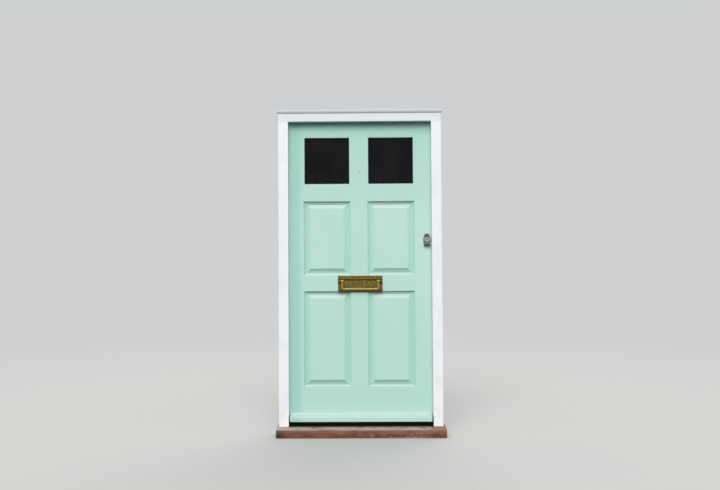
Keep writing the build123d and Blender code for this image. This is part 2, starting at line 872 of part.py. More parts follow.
def make_plug():
    """The cylinder's turning plug with its keyway."""
    face = leaf_face - pull_t - cylinder_rim_t
    plug = rod_y(plug_r, latch_x, face, face + cylinder_rim_t + cylinder_l, latch_z)
    plug -= block(
        latch_x - keyway_w / 2,
        latch_x + keyway_w / 2,
        face - past,
        face + keyway_d,
        latch_z - keyway_h / 2,
        latch_z + keyway_h / 2,
    )
    return plug


def make_tailbar():
    """The flat bar from the plug into the latch."""
    y0 = leaf_face - pull_t + cylinder_l
    return block(
        latch_x - tailbar_t / 2,
        latch_x + tailbar_t / 2,
        y0,
        case_back + tailbar_end,
        latch_z - tailbar_w / 2,
        latch_z + tailbar_w / 2,
    )


def pull_outline(inset, z_low):
    """The pull's arched outline from z_low up, drawn in by an inset."""
    radius = pull_w / 2 - inset
    top = latch_z + pull_up - pull_w / 2
    arch = [
        (latch_x + radius * cos(radians(a)), top + radius * sin(radians(a))) for a in range(0, 181, 12)
    ]
    return [(latch_x + radius, z_low)] + arch + [(latch_x - radius, z_low)]


def make_pull():
    """The cylinder pull: an arched dish whose foot flares out as a finger lip."""
    back = leaf_face
    foot = latch_z - pull_down
    lip_top = latch_z - cylinder_rim_r - pull_lip_gap
    face = back - pull_t
    plate = along_y(pull_outline(0, lip_top), face, back)
    rim = along_y(pull_outline(0, lip_top), face - pull_rim_d, face)
    rim -= along_y(pull_outline(pull_rim_w, lip_top - past), face - pull_rim_d - past, face + past)
    plate += chamfer(rim.faces().sort_by(Axis.Y)[0].edges(), pull_rim_chamfer)
    plate -= rod_y(cylinder_r + wood_fit, latch_x, face - past, back + past, latch_z)
    centre = back - pull_lip_out
    under = arc_points(centre, lip_top, pull_lip_out, foot - lip_top, 0, 90, 8)
    over = arc_points(centre, lip_top, pull_lip_out - pull_t, foot - lip_top + pull_t, 90, 0, 8)
    lip = along_x(under + over, latch_x - pull_w / 2, latch_x + pull_w / 2)
    narrow = along_y(
        [
            (latch_x - pull_w / 2, lip_top + past),
            (latch_x + pull_w / 2, lip_top + past),
            (latch_x + pull_lip_w / 2, foot - past),
            (latch_x - pull_lip_w / 2, foot - past),
        ],
        centre - past,
        back + past,
    )
    return plate + (lip & narrow)


def make_backplate():
    """The latch's backplate on the leaf's inner face."""
    plate = block(
        case_front - case_w, case_front, leaf_back, case_back, latch_z - case_h / 2, latch_z + case_h / 2
    )
    plate -= rod_y(plug_r, latch_x, leaf_back - past, case_back + past, latch_z)
    for side in (-1, 1):
        x = latch_x + side * connecting_pitch
        plate -= rod_y(connecting_screw_r + screw_fit, x, leaf_back - past, case_back + past, latch_z)
    for screw in latch_screws(screw_fit):
        plate -= screw
    return plate


def latch_screws(grow=0.0):
    """The four screws that hold the backplate to the stile."""
    out = []
    for side in (-1, 1):
        for x in (case_front - case_w + fitting_screw_inset, case_front - front_screw_inset):
            z = latch_z + side * (case_h / 2 - fitting_screw_inset)
            out.append(Pos(x, case_back, z) * Rot(-90, 0, 0) * wood_screw(grow))
    return out


def connecting_screws():
    """The two screws that draw the cylinder to the backplate."""
    out = []
    start = leaf_face - pull_t + cylinder_l / 2
    for side in (-1, 1):
        x = latch_x + side * connecting_pitch
        head = rod_y(connecting_head_r, x, case_back, case_back + connecting_head_h, latch_z)
        out.append(rod_y(connecting_screw_r, x, start, case_back, latch_z) + head)
    return out


def make_case():
    """The latch's case: a hollow box with openings for bolt, spindle and snib."""
    z0, z1 = latch_z - case_h / 2, latch_z + case_h / 2
    x0, x1 = case_front - case_w, case_front
    case = block(x0, x1, case_back, case_face, z0, z1)
    case = fillet(case.faces().sort_by(Axis.Y)[-1].edges(), case_round)
    case -= block(
        x0 + case_wall,
        x1 - case_wall,
        case_back - past,
        case_face - case_wall,
        z0 + case_wall,
        z1 - case_wall,
    )
    half = bolt_h / 2 + bolt_fit
    case -= block(
        x1 - case_wall - past,
        x1 + past,
        bolt_y - bolt_fit,
        bolt_y + bolt_w + bolt_fit,
        latch_z - half,
        latch_z + half,
    )
    inside = case_face - case_wall - past
    case -= rod_y(spindle_r + spindle_clear, latch_x, inside, case_face + past, latch_z)
    snib = latch_z - snib_drop
    case -= block(
        latch_x - snib_w / 2 - snib_fit,
        latch_x + snib_w / 2 + snib_fit,
        inside,
        case_face + past,
        snib - snib_w / 2 - snib_travel - snib_fit,
        snib + snib_w / 2 + snib_fit,
    )
    return case


def make_bolt():
    """The latch bolt held back: a bevelled head and a tail with a notch for the crank."""
    nose = case_front
    x0 = nose - bolt_l
    section = [
        (x0, bolt_y),
        (nose - bolt_bevel, bolt_y),
        (nose, bolt_y + bolt_bevel),
        (nose, bolt_y + bolt_w),
        (x0, bolt_y + bolt_w),
    ]
    bolt = along_z(section, latch_z - bolt_h / 2, latch_z + bolt_h / 2)
    low = latch_z + tail_low
    bolt += block(x0 - tail_reach, x0 + tail_lap, bolt_y, bolt_y + tail_t, low, low + tail_h)
    notch_x = latch_x - crank_x
    half = crank_pin_r + crank_fit
    notch_top = latch_z + crank_r + crank_pin_r + crank_fit
    across = (bolt_y - past, bolt_y + tail_t + past)
    return bolt - block(notch_x - half, notch_x + half, *across, latch_z, notch_top)


def make_knob():
    """The inside knob with its spindle, crank arm and crank pin, turned to hold the bolt back."""
    end = case_face + knob_gap
    knob = rod_y(knob_r, latch_x, end, end + knob_l, latch_z)
    knob = chamfer(knob.edges().filter_by(GeomType.CIRCLE), knob_chamfer)
    reach = knob_r + knob_flute_out
    for i in range(knob_flutes):
        a = 2 * pi * i / knob_flutes
        x, z = latch_x + reach * cos(a), latch_z + reach * sin(a)
        knob -= rod_y(knob_flute_r, x, end - past, end + knob_l + past, z)
    arm_y0 = bolt_y + tail_t + bolt_fit
    knob += rod_y(spindle_r, latch_x, arm_y0, end + past, latch_z)
    eye_r = crank_pin_r + crank_eye
    arm = block(-eye_r, eye_r, 0, crank_arm_t, 0, crank_r)
    arm += rod_y(eye_r, 0, 0, crank_arm_t, crank_r)
    arm += rod_y(crank_pin_r, 0, bolt_y - arm_y0 + crank_pin_short, 0, crank_r)
    knob += Pos(latch_x, arm_y0, latch_z) * Rot(0, -crank_half_deg, 0) * arm
    return knob


def make_snib():
    """The snib: a button outside the case on a stem with a foot inside."""
    z = latch_z - snib_drop
    half = snib_w / 2
    inner = case_face - case_wall
    stem = block(latch_x - half, latch_x + half, inner - past, case_face + past, z - half, z + half)
    wide = half + snib_foot_w
    back = inner - snib_fit
    foot = block(latch_x - wide, latch_x + wide, back - snib_foot_t, back, z - wide, z + wide)
    face = case_face + snib_fit
    out = block(latch_x - snib_h / 2, latch_x + snib_h / 2, face, case_face + snib_out, z - half, z + half)
    return stem + foot + chamfer(out.faces().sort_by(Axis.Y)[-1].edges(), snib_chamfer)


def make_latch_spring():
    """The coil spring behind the bolt's tail, pressed short."""
    x1 = case_front - bolt_l - tail_reach - bolt_spring_seat
    x0 = case_front - case_w + case_wall + bolt_spring_seat
    length = x1 - x0 - 2 * bolt_spring_wire_r
    helix = Helix(length / bolt_spring_coils, length, bolt_spring_r)
    section = Plane(helix @ 0, z_dir=helix % 0) * Circle(bolt_spring_wire_r)
    coil = sweep(section, path=helix, is_frenet=True)
    z = latch_z + tail_low + tail_h / 2
    return Pos(x0 + bolt_spring_wire_r, bolt_y + tail_t / 2, z) * Rot(0, 90, 0) * coil


def make_staple():
    """The staple on the lock post: a box open to the bolt."""
    x0 = half_rebate + staple_gap
    x1 = x0 + staple_w
    y1 = leaf_back + staple_d
    staple = block(x0, x1, leaf_back, y1, latch_z - staple_h / 2, latch_z + staple_h / 2)
    back_edges = staple.faces().sort_by(Axis.Y)[-1].edges()
    staple = fillet(back_edges.filter_by(Axis.Z).sort_by(Axis.X)[-1], case_round)
    half = bolt_h / 2 + staple_play
    across = (bolt_y - staple_play, bolt_y + bolt_w + staple_play)
    staple -= block(x0 - past, x0 + staple_pocket(), *across, latch_z - half, latch_z + half)
    for screw in staple_screws(screw_fit):
        staple -= screw
    return staple


def staple_pocket():
    """How far the pocket goes into the staple."""
    return bolt_throw + staple_play


def staple_screws(grow=0.0):
    """The two screws that hold the staple to the post."""
    x = half_rebate + staple_gap + staple_w / 2
    y = leaf_back + staple_d
    length = staple_d + staple_screw_grip
    rise = staple_h / 2 - fitting_screw_inset
    return [Pos(x, y, latch_z + s * rise) * Rot(-90, 0, 0) * wood_screw(grow, length) for s in (-1, 1)]


def make_nuts():
    """The hexagon nuts on the letter plate's studs."""
    out = []
    for x in (-stud_x, stud_x):
        corners = [radians(60 * i) for i in range(6)]
        points = [(x + stud_nut_r * cos(a), slot_z + stud_nut_r * sin(a)) for a in corners]
        nut = along_y(points, leaf_back, leaf_back + stud_nut_h)
        through = (leaf_back - past, leaf_back + stud_nut_h + past)
        out.append(nut - rod_y(stud_r + pin_clear, x, *through, slot_z))
    return out


def group(parts):
    """Separate solids in one node."""
    return Compound(children=[p.solid() if hasattr(p, "solid") else p for p in parts])


def build_frame():
    """The frame's nodes."""
    nodes["sill"] = make_sill()
    nodes["head"] = make_head()
    nodes["cap_moulding"] = make_cap()
    bar_y, bar_z = water_bar_place()
    nodes["water_bar"] = block(
        -half_rebate + wood_fit,
        half_rebate - wood_fit,
        bar_y,
        bar_y + water_bar_t,
        bar_z,
        bar_z + water_bar_h,
    )
    hinge_post = make_post(-1)
    for z in hinge_heights.values():
        hinge_post -= hinge_flap_recess(z, -half_rebate, -1)
        for screw in hinge_screws(z, -1, screw_fit):
            hinge_post -= screw
    nodes["hinge_post"] = hinge_post
    lock_post = make_post(1)
    for screw in staple_screws(screw_fit):
        lock_post -= screw
    nodes["lock_post"] = lock_post
    nodes["staple"] = make_staple()
    nodes["staple_screws"] = group(staple_screws())


def build_leaf():
    """The leaf's joinery, panels and glass."""
    nodes["hinge_stile"] = make_stile(-1)
    nodes["lock_stile"] = make_stile(1)
    for name in rails():
        nodes[name] = make_rail(name)
    nodes["top_muntin"] = make_muntin(pane_z, top_rail_z, grooved=False) - rod_y(
        old_hole_r,
        (muntin_left + muntin_right) / 2 + old_hole_x,
        leaf_face - past,
        leaf_face + old_hole_d,
        pane_z + old_hole_lift,
    )
    nodes["upper_muntin"] = make_muntin(upper_panel_z, frieze_z)
    nodes["lower_muntin"] = make_muntin(lower_panel_z, lock_rail_z)
    for side, (x0, x1) in columns.items():
        for row, (z0, z1) in panel_rows.items():
            nodes[f"{row}_{side}_panel"] = make_panel(x0, x1, z0, z1)
            nodes[f"{row}_{side}_moulding"] = moulded_frame(
                x0, x1, z0, z1, moulding_w, panel_moulding_section()
            )
        nodes[f"{side}_pane"] = make_pane(x0, x1)
        for place, section in (("outer", outer_bead_section()), ("inner", inner_bead_section())):
            beads = moulded_frame(x0, x1, pane_z, top_rail_z, bead_w, section)
            nodes[f"{side}_{place}_beads"] = beads
    nodes["weatherboard"] = make_weatherboard()


def build_hinges():
    """The three hinges and their screws."""
    pins, fixed_screws, moving_screws = [], [], []
    for name, z in hinge_heights.items():
        fixed, moving, pin = make_hinge(z)
        nodes[f"{name}_hinge_fixed_flap"] = fixed
        nodes[f"{name}_hinge_moving_flap"] = moving
        pins.append(pin)
        fixed_screws += hinge_screws(z, -1)
        moving_screws += hinge_screws(z, 1)
    nodes["hinge_pins"] = group(pins)
    nodes["hinge_post_screws"] = group(fixed_screws)
    nodes["hinge_stile_screws"] = group(moving_screws)


def build_letter_plate():
    """The letter plate's nodes."""
    nodes["letter_plate"] = make_letter_plate()
    nodes["letter_plate_nuts"] = group(make_nuts())
    nodes["letter_flap"] = make_letter_flap()
    nodes["flap_pin"] = make_letter_pin()
    nodes["flap_spring"] = make_flap_spring()
    nodes["knocker_bail"] = make_bail()


def build_latch():
    """The rim latch's nodes."""
    nodes["cylinder_pull"] = make_pull()
    nodes["cylinder"] = make_cylinder()
    nodes["cylinder_plug"] = make_plug()
    nodes["tailbar"] = make_tailbar()
    nodes["latch_backplate"] = make_backplate()
    nodes["latch_case"] = make_case()
    nodes["latch_bolt"] = make_bolt()
    nodes["latch_knob"] = make_knob()
    nodes["latch_snib"] = make_snib()
    nodes["latch_spring"] = make_latch_spring()
    nodes["backplate_screws"] = group(latch_screws())
    nodes["cylinder_screws"] = group(connecting_screws())


def main():
    """Build every node and write its STEP file."""
    build_frame()
    build_leaf()
    build_hinges()
    build_letter_plate()
    build_latch()
    os.makedirs("parts", exist_ok=True)
    for name, shape in nodes.items():
        export_step(shape, f"parts/{name}.step")


if __name__ == "__main__":
    main()
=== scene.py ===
"""Looks of a panelled front door in its frame: finishes, floor, light and camera.

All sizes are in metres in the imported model's frame: +X to the right seen from the street, +Y into
the house, +Z up, with the origin on the sill's underside below the frame's street face.
"""

from __future__ import annotations

import logging
import math
from dataclasses import dataclass
from enum import Enum
from typing import Any, Iterable, Mapping, Optional, Union

import bpy
from mathutils import Matrix, Vector

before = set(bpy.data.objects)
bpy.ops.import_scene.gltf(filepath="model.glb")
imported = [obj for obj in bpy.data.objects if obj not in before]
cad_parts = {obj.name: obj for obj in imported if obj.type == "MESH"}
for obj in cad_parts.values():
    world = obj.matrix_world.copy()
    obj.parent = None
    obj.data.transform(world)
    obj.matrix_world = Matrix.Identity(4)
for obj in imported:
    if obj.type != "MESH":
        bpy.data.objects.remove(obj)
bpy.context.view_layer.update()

log = logging.getLogger("front_door")

Rgb = tuple[float, float, float]
Place = tuple[float, float, float]
Input = Union["Wire", bpy.types.NodeSocket, float, tuple[float, ...]]


def srgb(red: int, green: int, blue: int) -> Rgb:
    """Turn a colour as it looks on screen, 0 to 255, into the linear one that shaders take."""
    parts = [channel / 255 for channel in (red, green, blue)]
    return tuple(c / 12.92 if c <= 0.04045 else ((c + 0.055) / 1.055) ** 2.4 for c in parts)


class Kind(Enum):
    """What a wire carries."""

    NUMBER = "number"
    VECTOR = "vector"
    COLOUR = "colour"


class Along(Enum):
    """The way a piece's grain and brush marks run, as the stretch of the noise across each axis."""

    WIDTH = (2.2, 60.0, 60.0)
    HEIGHT = (60.0, 60.0, 2.2)
    NONE = (9.0, 9.0, 9.0)


@dataclass(frozen=True)
class Wire:
    """A shader value that changes over a surface; arithmetic on it adds nodes."""

    graph: "Graph"
    socket: bpy.types.NodeSocket
    kind: Kind = Kind.NUMBER

    def _join(self, operation: str, first: Input, second: Input) -> "Wire":
        """Add the node that joins two inputs.

        Args:
            operation: the operation's name, which Math, Vector Math and Mix share.
            first: the input on the left.
            second: the input on the right.

        Returns:
            The result, of the richer kind of the two.
        """
        kinds = [part.kind for part in (first, second) if isinstance(part, Wire)]
        if Kind.COLOUR in kinds:
            return self.graph.blend(first, second, 1.0, operation)
        if Kind.VECTOR in kinds:
            node = self.graph.node("ShaderNodeVectorMath", {"operation": operation}, {0: first, 1: second})
            return Wire(self.graph, node.outputs[0], Kind.VECTOR)
        node = self.graph.node("ShaderNodeMath", {"operation": operation}, {0: first, 1: second})
        return Wire(self.graph, node.outputs[0])

    def __add__(self, other: Input) -> "Wire":
        """Add."""
        return self._join("ADD", self, other)

    def __radd__(self, other: Input) -> "Wire":
        """Add to something on the left."""
        return self._join("ADD", other, self)

    def __sub__(self, other: Input) -> "Wire":
        """Subtract."""
        return self._join("SUBTRACT", self, other)

    def __rsub__(self, other: Input) -> "Wire":
        """Subtract from something on the left."""
        return self._join("SUBTRACT", other, self)

    def __mul__(self, other: Input) -> "Wire":
        """Multiply."""
        return self._join("MULTIPLY", self, other)

    def __rmul__(self, other: Input) -> "Wire":
        """Multiply something on the left."""
        return self._join("MULTIPLY", other, self)

    def band(self, start: float, end: float) -> "Wire":
        """Fade smoothly.

        Args:
            start: the value where the fade is 0.
            end: the value where it is 1, above the start or below it.

        Returns:
            The fade, from 0 to 1.
        """
        settings = {"interpolation_type": "SMOOTHSTEP"}
        values = {"Value": self, "From Min": start, "From Max": end, "To Min": 0.0, "To Max": 1.0}
        if start > end:
            values.update({"From Min": end, "From Max": start, "To Min": 1.0, "To Max": 0.0})
        node = self.graph.node("ShaderNodeMapRange", settings, values)
        return Wire(self.graph, node.outputs["Result"])

    def away(self, start: float, end: float) -> "Wire":
        """Fade by the distance from 0 on either side of it."""
        return (self * self).band(start ** 2, end ** 2)

    def axis(self, name: str) -> "Wire":
        """The X, Y or Z part of a vector."""
        node = self.graph.node("ShaderNodeSeparateXYZ", {}, {0: self})
        return Wire(self.graph, node.outputs[name])


@dataclass(frozen=True)
class Fade:
    """A fade over a measure, from nothing at its start to its strength at its end."""

    start: float
    end: float
    strength: float = 1.0

    def over(self, measure: Wire) -> Wire:
        """Add the fade's nodes over a measure."""
        shown = measure.band(self.start, self.end)
        return shown if self.strength == 1.0 else shown * self.strength


@dataclass(frozen=True)
class Cloud:
    """Noise: cells in a metre, finer layers, its own place in the noise, and the layers' strength."""

    scale: Union[float, Place]
    detail: float = 3.0
    shift: float = 0.0
    rough: float = 0.55
    shift_way: Place = (1.0, 0.7, 1.3)


@dataclass(frozen=True)
class Relief:
    """How strongly fine marks stand out, and their real depth."""

    strength: float
    depth: float


class Graph:
    """The nodes of one material or of the world."""

    def __init__(self, owner: Union[bpy.types.Material, bpy.types.World]) -> None:
        """Clear the owner's nodes and keep its tree.

        Args:
            owner: the material or world to build.
        """
        owner.use_nodes = True
        self.tree = owner.node_tree
        self.tree.nodes.clear()

    def node(
        self, kind: str, settings: Optional[Mapping[str, Any]] = None, values: Optional[Mapping[Any, Input]] = None
    ) -> bpy.types.Node:
        """Add a node.

        Args:
            kind: the node's Blender type.
            settings: its properties, set before its sockets.
            values: a value or a wire for each socket, by name or number.

        Returns:
            The new node.
        """
        made = self.tree.nodes.new(kind)
        for name, setting in (settings or {}).items():
            setattr(made, name, setting)
        for name, value in (values or {}).items():
            self._feed(made.inputs[name], value)
        return made

    def _feed(self, socket: bpy.types.NodeSocket, value: Input) -> None:
        """Link a wire to a socket, or set the socket's own value.

        Args:
            socket: the socket to feed.
            value: a wire, another node's output, a number or a tuple.
        """
        if isinstance(value, Wire):
            self.tree.links.new(value.socket, socket)
        elif isinstance(value, bpy.types.NodeSocket):
            self.tree.links.new(value, socket)
        elif socket.type == "RGBA":
            parts = value if isinstance(value, tuple) else (value, value, value)
            socket.default_value = (*parts[:3], 1.0)
        elif socket.type == "VECTOR" and not isinstance(value, tuple):
            socket.default_value = (value, value, value)
        else:
            socket.default_value = value

    def blend(self, first: Input, second: Input, factor: Input, mode: str = "MIX") -> Wire:
        """Mix two colours.

        Args:
            first: the colour at factor 0.
            second: the colour at factor 1, or the one that the mode joins to the first.
            factor: how much of the second.
            mode: the Mix node's blend type.

        Returns:
            The mixed colour.
        """
        slots = {0: factor, 6: first, 7: second}
        node = self.node("ShaderNodeMix", {"data_type": "RGBA", "blend_type": mode}, slots)
        return Wire(self, node.outputs[2], Kind.COLOUR)

    def place(self) -> Wire:
        """The point on the surface, in metres in the part's frame."""
        return Wire(self, self.node("ShaderNodeTexCoord").outputs["Object"], Kind.VECTOR)

    def facing(self) -> Wire:
        """The way the surface faces, in the piece's own frame."""
        return Wire(self, self.node("ShaderNodeTexCoord").outputs["Normal"], Kind.VECTOR)

    def noise(self, cloud: Cloud) -> Wire:
        """Add cloudy noise.

        Args:
            cloud: its size and kind.

        Returns:
            The noise as a number from about 0.25 to 0.75.
        """
        point = self.place() * cloud.scale + tuple(cloud.shift * part for part in cloud.shift_way)
        values = {"Vector": point, "Scale": 1.0, "Detail": cloud.detail, "Roughness": cloud.rough}
        return Wire(self, self.node("ShaderNodeTexNoise", {}, values).outputs["Fac"])

    def bump(self, height: Wire, relief: Relief) -> Wire:
        """The normal that a height in 0 to 1 gives."""
        values = {"Height": height, "Strength": relief.strength, "Distance": relief.depth}
        return Wire(self, self.node("ShaderNodeBump", {}, values).outputs[0], Kind.VECTOR)

    def surface(self, **values: Input) -> None:
        """Finish a material with a Principled shader.

        Args:
            values: the shader's sockets, with low bars for spaces.
        """
        sockets = {name.replace("_", " "): value for name, value in values.items()}
        shader = self.node("ShaderNodeBsdfPrincipled", {}, sockets)
        self.node("ShaderNodeOutputMaterial", {}, {"Surface": shader.outputs[0]})


def new_graph(name: str) -> tuple[bpy.types.Material, Graph]:
    """Make a material and its graph."""
    material = bpy.data.materials.new(name)
    return material, Graph(material)


@dataclass(frozen=True)
class LeafPaint:
    """Mint-green gloss paint brushed on the leaf, dusty on its ledges, with painted shade in its corners.

    The fields that end in _y, _z and _x are places on the leaf: the depth from the street, the
    height and the distance across. Painted shade darkens the hinge side by the post, the panels'
    recesses, faces turned down, the leaf under the head and the weatherboard's foot.
    """

    name: str = "leaf_paint"
    colour: Rgb = srgb(187, 223, 213)
    low_colour: Rgb = srgb(182, 219, 207)
    shade_colour: Rgb = srgb(168, 210, 197)
    shade_green: Rgb = srgb(148, 203, 182)
    dusty: Rgb = srgb(172, 189, 184)
    head_shade_and_spot: Rgb = srgb(126, 208, 174)
    grime_and_shade: Rgb = srgb(52, 118, 58)
    hinge_side_shade: Rgb = srgb(150, 203, 190)
    low_z: Fade = Fade(1.35, 0.25)
    high_z: Fade = Fade(1.5, 1.62)
    bottom_rail_z: Fade = Fade(0.36, 0.22, 0.25)
    clouds: Cloud = Cloud(3.1, 3.0, 2.0)
    cloudy: Fade = Fade(0.42, 0.78, 0.2)
    stroke_detail: float = 2.0
    stroke_shift: float = 5.0
    brushed: Fade = Fade(0.5, 0.8, 0.1)
    outside_y: Fade = Fade(0.085, 0.08)
    hinge_x: Fade = Fade(-0.375, -0.436)
    hinge_edge_x: Fade = Fade(-0.462, -0.484)
    hinge_strength: float = 0.75
    field_y: float = 0.0555
    shade_lift_y: float = 0.06
    bevel_foot_y: float = 0.0625
    panel_back_y: float = 0.07
    back_fade: float = 0.002
    recess_strength: float = 0.25
    bevel_fade: float = 0.0
    faces_down: Fade = Fade(-0.1, -0.5)
    faces_up: Fade = Fade(0.1, 0.45, 0.9)
    fading_z: Fade = Fade(1.63, 2.13, 0.24)
    shadow_z: Fade = Fade(2.01, 2.13, 0.08)
    under_head_shade_z: Fade = Fade(2.112, 2.121, 0.5)
    foot_z: Fade = Fade(0.093, 0.087, 0.7)
    dark_spot_x: float = 0.0
    dark_spot_z: float = 0.0
    dark_spot_r: float = 0.013
    dark_spot_strength: float = 0.0
    fine: Cloud = Cloud(210.0, 2.0)
    stroke_share: float = 0.7
    relief: Relief = Relief(0.12, 0.0003)
    roughness: float = 0.36
    rougher: float = 0.14

    def material(self, along: Along, shade_all_over: float = 0.0) -> bpy.types.Material:
        """Make the paint.

        Args:
            along: the way its brush marks run.
            shade_all_over: how much painted shade darkens it all over, from 0 to 1.

        Returns:
            The paint.
        """
        material, graph = new_graph(f"{self.name}_{along.name.lower()}")
        point = graph.place()
        across, depth, height = point.axis("X"), point.axis("Y"), point.axis("Z")
        facing_up = graph.facing().axis("Z")
        clouds = graph.noise(self.clouds)
        strokes = graph.noise(Cloud(along.value, self.stroke_detail, self.stroke_shift))
        outside = self.outside_y.over(depth)
        # Darker towards the foot, and from about 1.5 m up the same colour is painted shade from the head.
        colour = graph.blend(self.colour, self.low_colour, self.low_z.over(height) + self.high_z.over(height))
        colour = graph.blend(colour, self.shade_colour, self.bottom_rail_z.over(height))
        colour = graph.blend(colour, self.shade_colour, self.cloudy.over(clouds))
        colour = graph.blend(colour, self.shade_colour, self.brushed.over(strokes))
        # Painted shade: the hinge post's shadow across the leaf's hinge side, lighter at its very edge.
        post_shadow = self.hinge_x.over(across) - self.hinge_edge_x.over(across)
        colour = graph.blend(colour, self.hinge_side_shade, post_shadow * outside * self.hinge_strength)
        # Painted shade in the panels' recesses, and over the whole piece by shade_all_over.
        recess_shade = depth.band(self.field_y, self.bevel_foot_y)
        recess_shade = recess_shade * depth.band(self.panel_back_y, self.panel_back_y - self.back_fade)
        colour = graph.blend(colour, self.shade_green, recess_shade * self.recess_strength + shade_all_over)
        # Painted shade on faces turned down, lifted by bevel_fade towards the foot of a field's bevel.
        shade_lift = depth.band(self.shade_lift_y, self.bevel_foot_y) * self.bevel_fade
        colour = graph.blend(colour, self.shade_green, self.faces_down.over(facing_up) * (1.0 - shade_lift))
        colour = graph.blend(colour, self.dusty, self.faces_up.over(facing_up))
        # Painted shade under the head's overhang, on the street side.
        under_head = self.fading_z.over(height) + self.shadow_z.over(height)
        colour = graph.blend(colour, self.head_shade_and_spot, under_head * outside)
        # A darker green spot round a point, used round the fixing hole in the top muntin.
        if self.dark_spot_strength:
            aside, rise = across - self.dark_spot_x, height - self.dark_spot_z
            near = (aside * aside + rise * rise).band(self.dark_spot_r ** 2, 0.0)
            colour = graph.blend(colour, self.head_shade_and_spot, near * self.dark_spot_strength)
        # Painted shade: a dark band just under the head and a dark strip along the weatherboard's foot.
        colour = graph.blend(colour, self.grime_and_shade, (self.under_head_shade_z.over(height) + self.foot_z.over(height)) * outside)
        marks = strokes * self.stroke_share + graph.noise(self.fine) * (1.0 - self.stroke_share)
        graph.surface(
            Base_Color=colour,
            Roughness=self.roughness + clouds * self.rougher,
            Normal=graph.bump(marks, self.relief),
        )
        return material


@dataclass(frozen=True)
class FramePaint:
    """White gloss paint brushed on the posts, head and cap, dirtier at the foot and on ledges.

    The reveal is the posts' side towards the leaf. Painted shade makes it nearly black near the sill and greys the
    head and cap.
    """

    colour: Rgb = srgb(240, 242, 245)
    shade: Rgb = srgb(221, 226, 228)
    grime_and_shade: Rgb = srgb(170, 172, 160)
    weathered: Rgb = srgb(184, 188, 184)
    reveal_shade: Rgb = srgb(38, 36, 32)
    head_and_cap_shade: Rgb = srgb(204, 213, 216)
    clouds: Cloud = Cloud(4.3, 3.0, 4.0)
    cloudy: Fade = Fade(0.45, 0.8, 0.5)
    stroke_detail: float = 2.0
    stroke_shift: float = 1.0
    brushed: Fade = Fade(0.5, 0.8, 0.3)
    splash_z: Fade = Fade(0.26, 0.05)
    splashes: Cloud = Cloud((16.0, 16.0, 6.0), 4.0, 3.0)
    splashed: Fade = Fade(0.4, 0.72)
    splash_strength: float = 0.35
    reveal_x: float = 0.4885
    reveal_fade: float = 0.001
    reveal_z: Fade = Fade(0.15, 0.11, 0.9)
    head_foot_z: Fade = Fade(2.12, 2.13, 0.45)
    cap_top_z: Fade = Fade(2.192, 2.2, 0.4)
    faces_up: Fade = Fade(0.4, 0.95)
    ledge_clouds: Cloud = Cloud(22.0, 4.0, 6.0)
    ledge_cloudy: Fade = Fade(0.35, 0.7, 0.3)
    ledge_least: float = 0.7
    relief: Relief = Relief(0.22, 0.0004)
    roughness: float = 0.32
    rougher: float = 0.16

    def material(self, along: Along) -> bpy.types.Material:
        """Make the paint.

        Args:
            along: the way its brush marks run.

        Returns:
            The paint.
        """
        material, graph = new_graph(f"frame_paint_{along.name.lower()}")
        point = graph.place()
        across, height = point.axis("X"), point.axis("Z")
        clouds = graph.noise(self.clouds)
        strokes = graph.noise(Cloud(along.value, self.stroke_detail, self.stroke_shift))
        colour = graph.blend(self.colour, self.shade, self.cloudy.over(clouds))
        colour = graph.blend(colour, self.shade, self.brushed.over(strokes))
        splash = self.splash_z.over(height) * self.splashed.over(graph.noise(self.splashes))
        colour = graph.blend(colour, self.grime_and_shade, splash * self.splash_strength)
        # Painted shade: the reveal goes nearly black towards the sill.
        reveal = across.away(self.reveal_x + self.reveal_fade, self.reveal_x)
        colour = graph.blend(colour, self.reveal_shade, reveal * self.reveal_z.over(height))
        # Painted shade greying the head and cap, the cap's upper part most.
        colour = graph.blend(colour, self.head_and_cap_shade, self.head_foot_z.over(height) + self.cap_top_z.over(height))
        ledge = self.faces_up.over(graph.facing().axis("Z"))
        uneven = self.ledge_least + self.ledge_cloudy.over(graph.noise(self.ledge_clouds))
        colour = graph.blend(colour, self.weathered, ledge * uneven)
        graph.surface(
            Base_Color=colour,
            Roughness=self.roughness + clouds * self.rougher,
            Normal=graph.bump(strokes, self.relief),
        )
        return material


